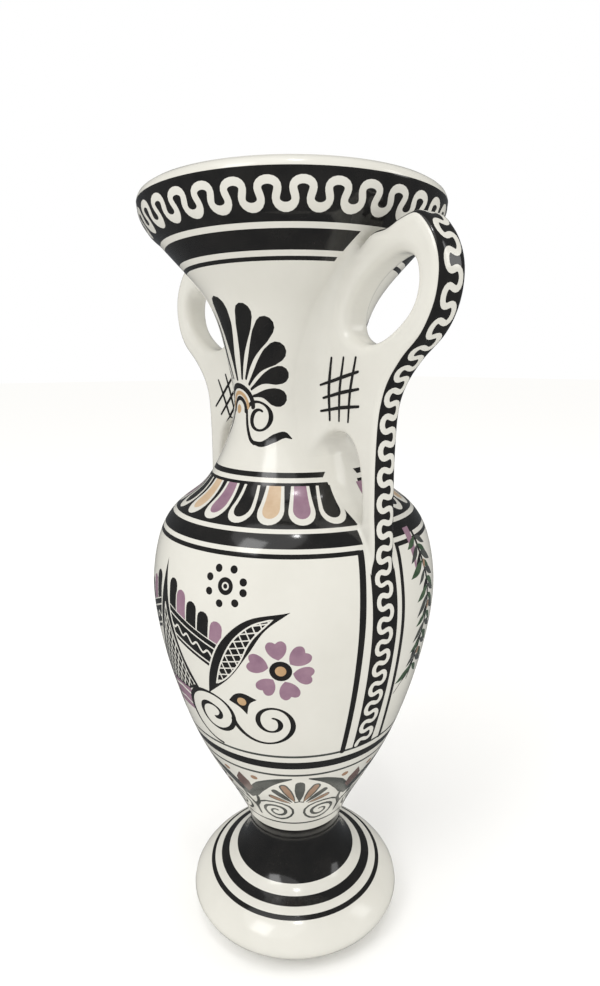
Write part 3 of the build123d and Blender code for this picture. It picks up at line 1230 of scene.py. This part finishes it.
for name, angle in zip(HANDLES, HANDLE_ANGLES):
    finish_piece(handle(name + "_ware", angle, [cream]), name)
    finish_piece(strap(name + "_strap", angle, black, cream), name)
    finish_piece(crosshatch(name + "_hatch", angle, black), name)

# -------- table, light and camera

floor_material = bpy.data.materials.new("table_paper")
floor_material.use_nodes = True
paper = floor_material.node_tree.nodes["Principled BSDF"]
paper.inputs["Base Color"].default_value = (0.975, 0.975, 0.97, 1)
paper.inputs["Roughness"].default_value = 0.9
paper.inputs["Specular IOR Level"].default_value = 0.0
floor_mesh = bpy.data.meshes.new("table")
floor_mesh.from_pydata([(-9, -9, 0), (9, -9, 0), (9, 9, 0), (-9, 9, 0)], [], [(0, 1, 2, 3)])
floor_mesh.materials.append(floor_material)
table = add_object("table", floor_mesh)
table.visible_glossy = False

# The room: white to the camera, soft white light on the clay, and a dim room in the gloss.
world = bpy.data.worlds.new("studio")
bpy.context.scene.world = world
world.use_nodes = True
sky, sky_links = world.node_tree.nodes, world.node_tree.links
sky.clear()
seen = sky.new("ShaderNodeLightPath")
clay_light = add_node(sky, "Background", {"Color": (1.0, 0.99, 0.97, 1), "Strength": 0.86})
gloss_light = add_node(sky, "Background", {"Color": (0.9, 0.95, 1.0, 1), "Strength": 0.12})
backdrop = add_node(sky, "Background", {"Color": (1, 1, 1, 1), "Strength": 1.0})
in_gloss = sky.new("ShaderNodeMixShader")
in_view = sky.new("ShaderNodeMixShader")
world_output = sky.new("ShaderNodeOutputWorld")
sky_links.new(seen.outputs["Is Glossy Ray"], in_gloss.inputs[0])
sky_links.new(clay_light.outputs[0], in_gloss.inputs[1])
sky_links.new(gloss_light.outputs[0], in_gloss.inputs[2])
sky_links.new(seen.outputs["Is Camera Ray"], in_view.inputs[0])
sky_links.new(in_gloss.outputs[0], in_view.inputs[1])
sky_links.new(backdrop.outputs[0], in_view.inputs[2])
sky_links.new(in_view.outputs[0], world_output.inputs[0])

# The viewer stands this far round from the front, towards the handle on +X.
TURN = math.radians(56.2)


def soft_light(name, azimuth, elevation, distance, size, power):
    """A softbox aimed at the vessel; azimuth 0 is towards the viewer and 90 the viewer's right."""
    data = bpy.data.lights.new(name, "AREA")
    data.shape = "RECTANGLE"
    data.size, data.size_y = size
    data.energy = power
    light = add_object(name, data)
    a, e = math.radians(azimuth) + TURN, math.radians(elevation)
    spot = Vector((math.sin(a) * math.cos(e), -math.cos(a) * math.cos(e), math.sin(e))) * distance
    light.location = spot + Vector((0, 0, 0.15))
    light.rotation_euler = (-spot).to_track_quat("-Z", "Y").to_euler()


soft_light("key_window", -42, 42, 1.5, (0.45, 0.6), 3.6)
soft_light("side_window", 80, 30, 1.7, (0.35, 0.8), 2.2)
soft_light("lamp", 4, 66, 1.6, (0.10, 0.10), 1.4)

sun_data = bpy.data.lights.new("daylight", "SUN")
sun_data.energy = 0.55
sun_data.angle = math.radians(50)
sun = add_object("daylight", sun_data)
sun.rotation_euler = (math.radians(30), 0, TURN + math.radians(-35))

camera_data = bpy.data.cameras.new("camera")
camera_data.sensor_fit = "VERTICAL"
camera_data.sensor_height = 36
camera_data.lens = 23.4
camera_data.clip_start = 0.01
camera = add_object("camera", camera_data)
pan, tip_down, lean = math.radians(-0.58), math.radians(11.38), math.radians(-0.135)
ahead = Vector((-math.sin(pan) * math.cos(tip_down), math.cos(pan) * math.cos(tip_down), -math.sin(tip_down)))
level = Vector((math.cos(pan), math.sin(pan), 0))
upward = level.cross(ahead)
right = math.cos(lean) * level + math.sin(lean) * upward
over = math.cos(lean) * upward - math.sin(lean) * level
stand = Matrix.Rotation(TURN, 3, "Z")
facing = stand @ Matrix((right, over, -ahead)).transposed()
camera.matrix_world = Matrix.LocRotScale(stand @ Vector((0, -0.2565, 0.24)), facing.to_quaternion(), None)
bpy.context.scene.camera = camera

bpy.context.scene.view_settings.view_transform = "Standard"
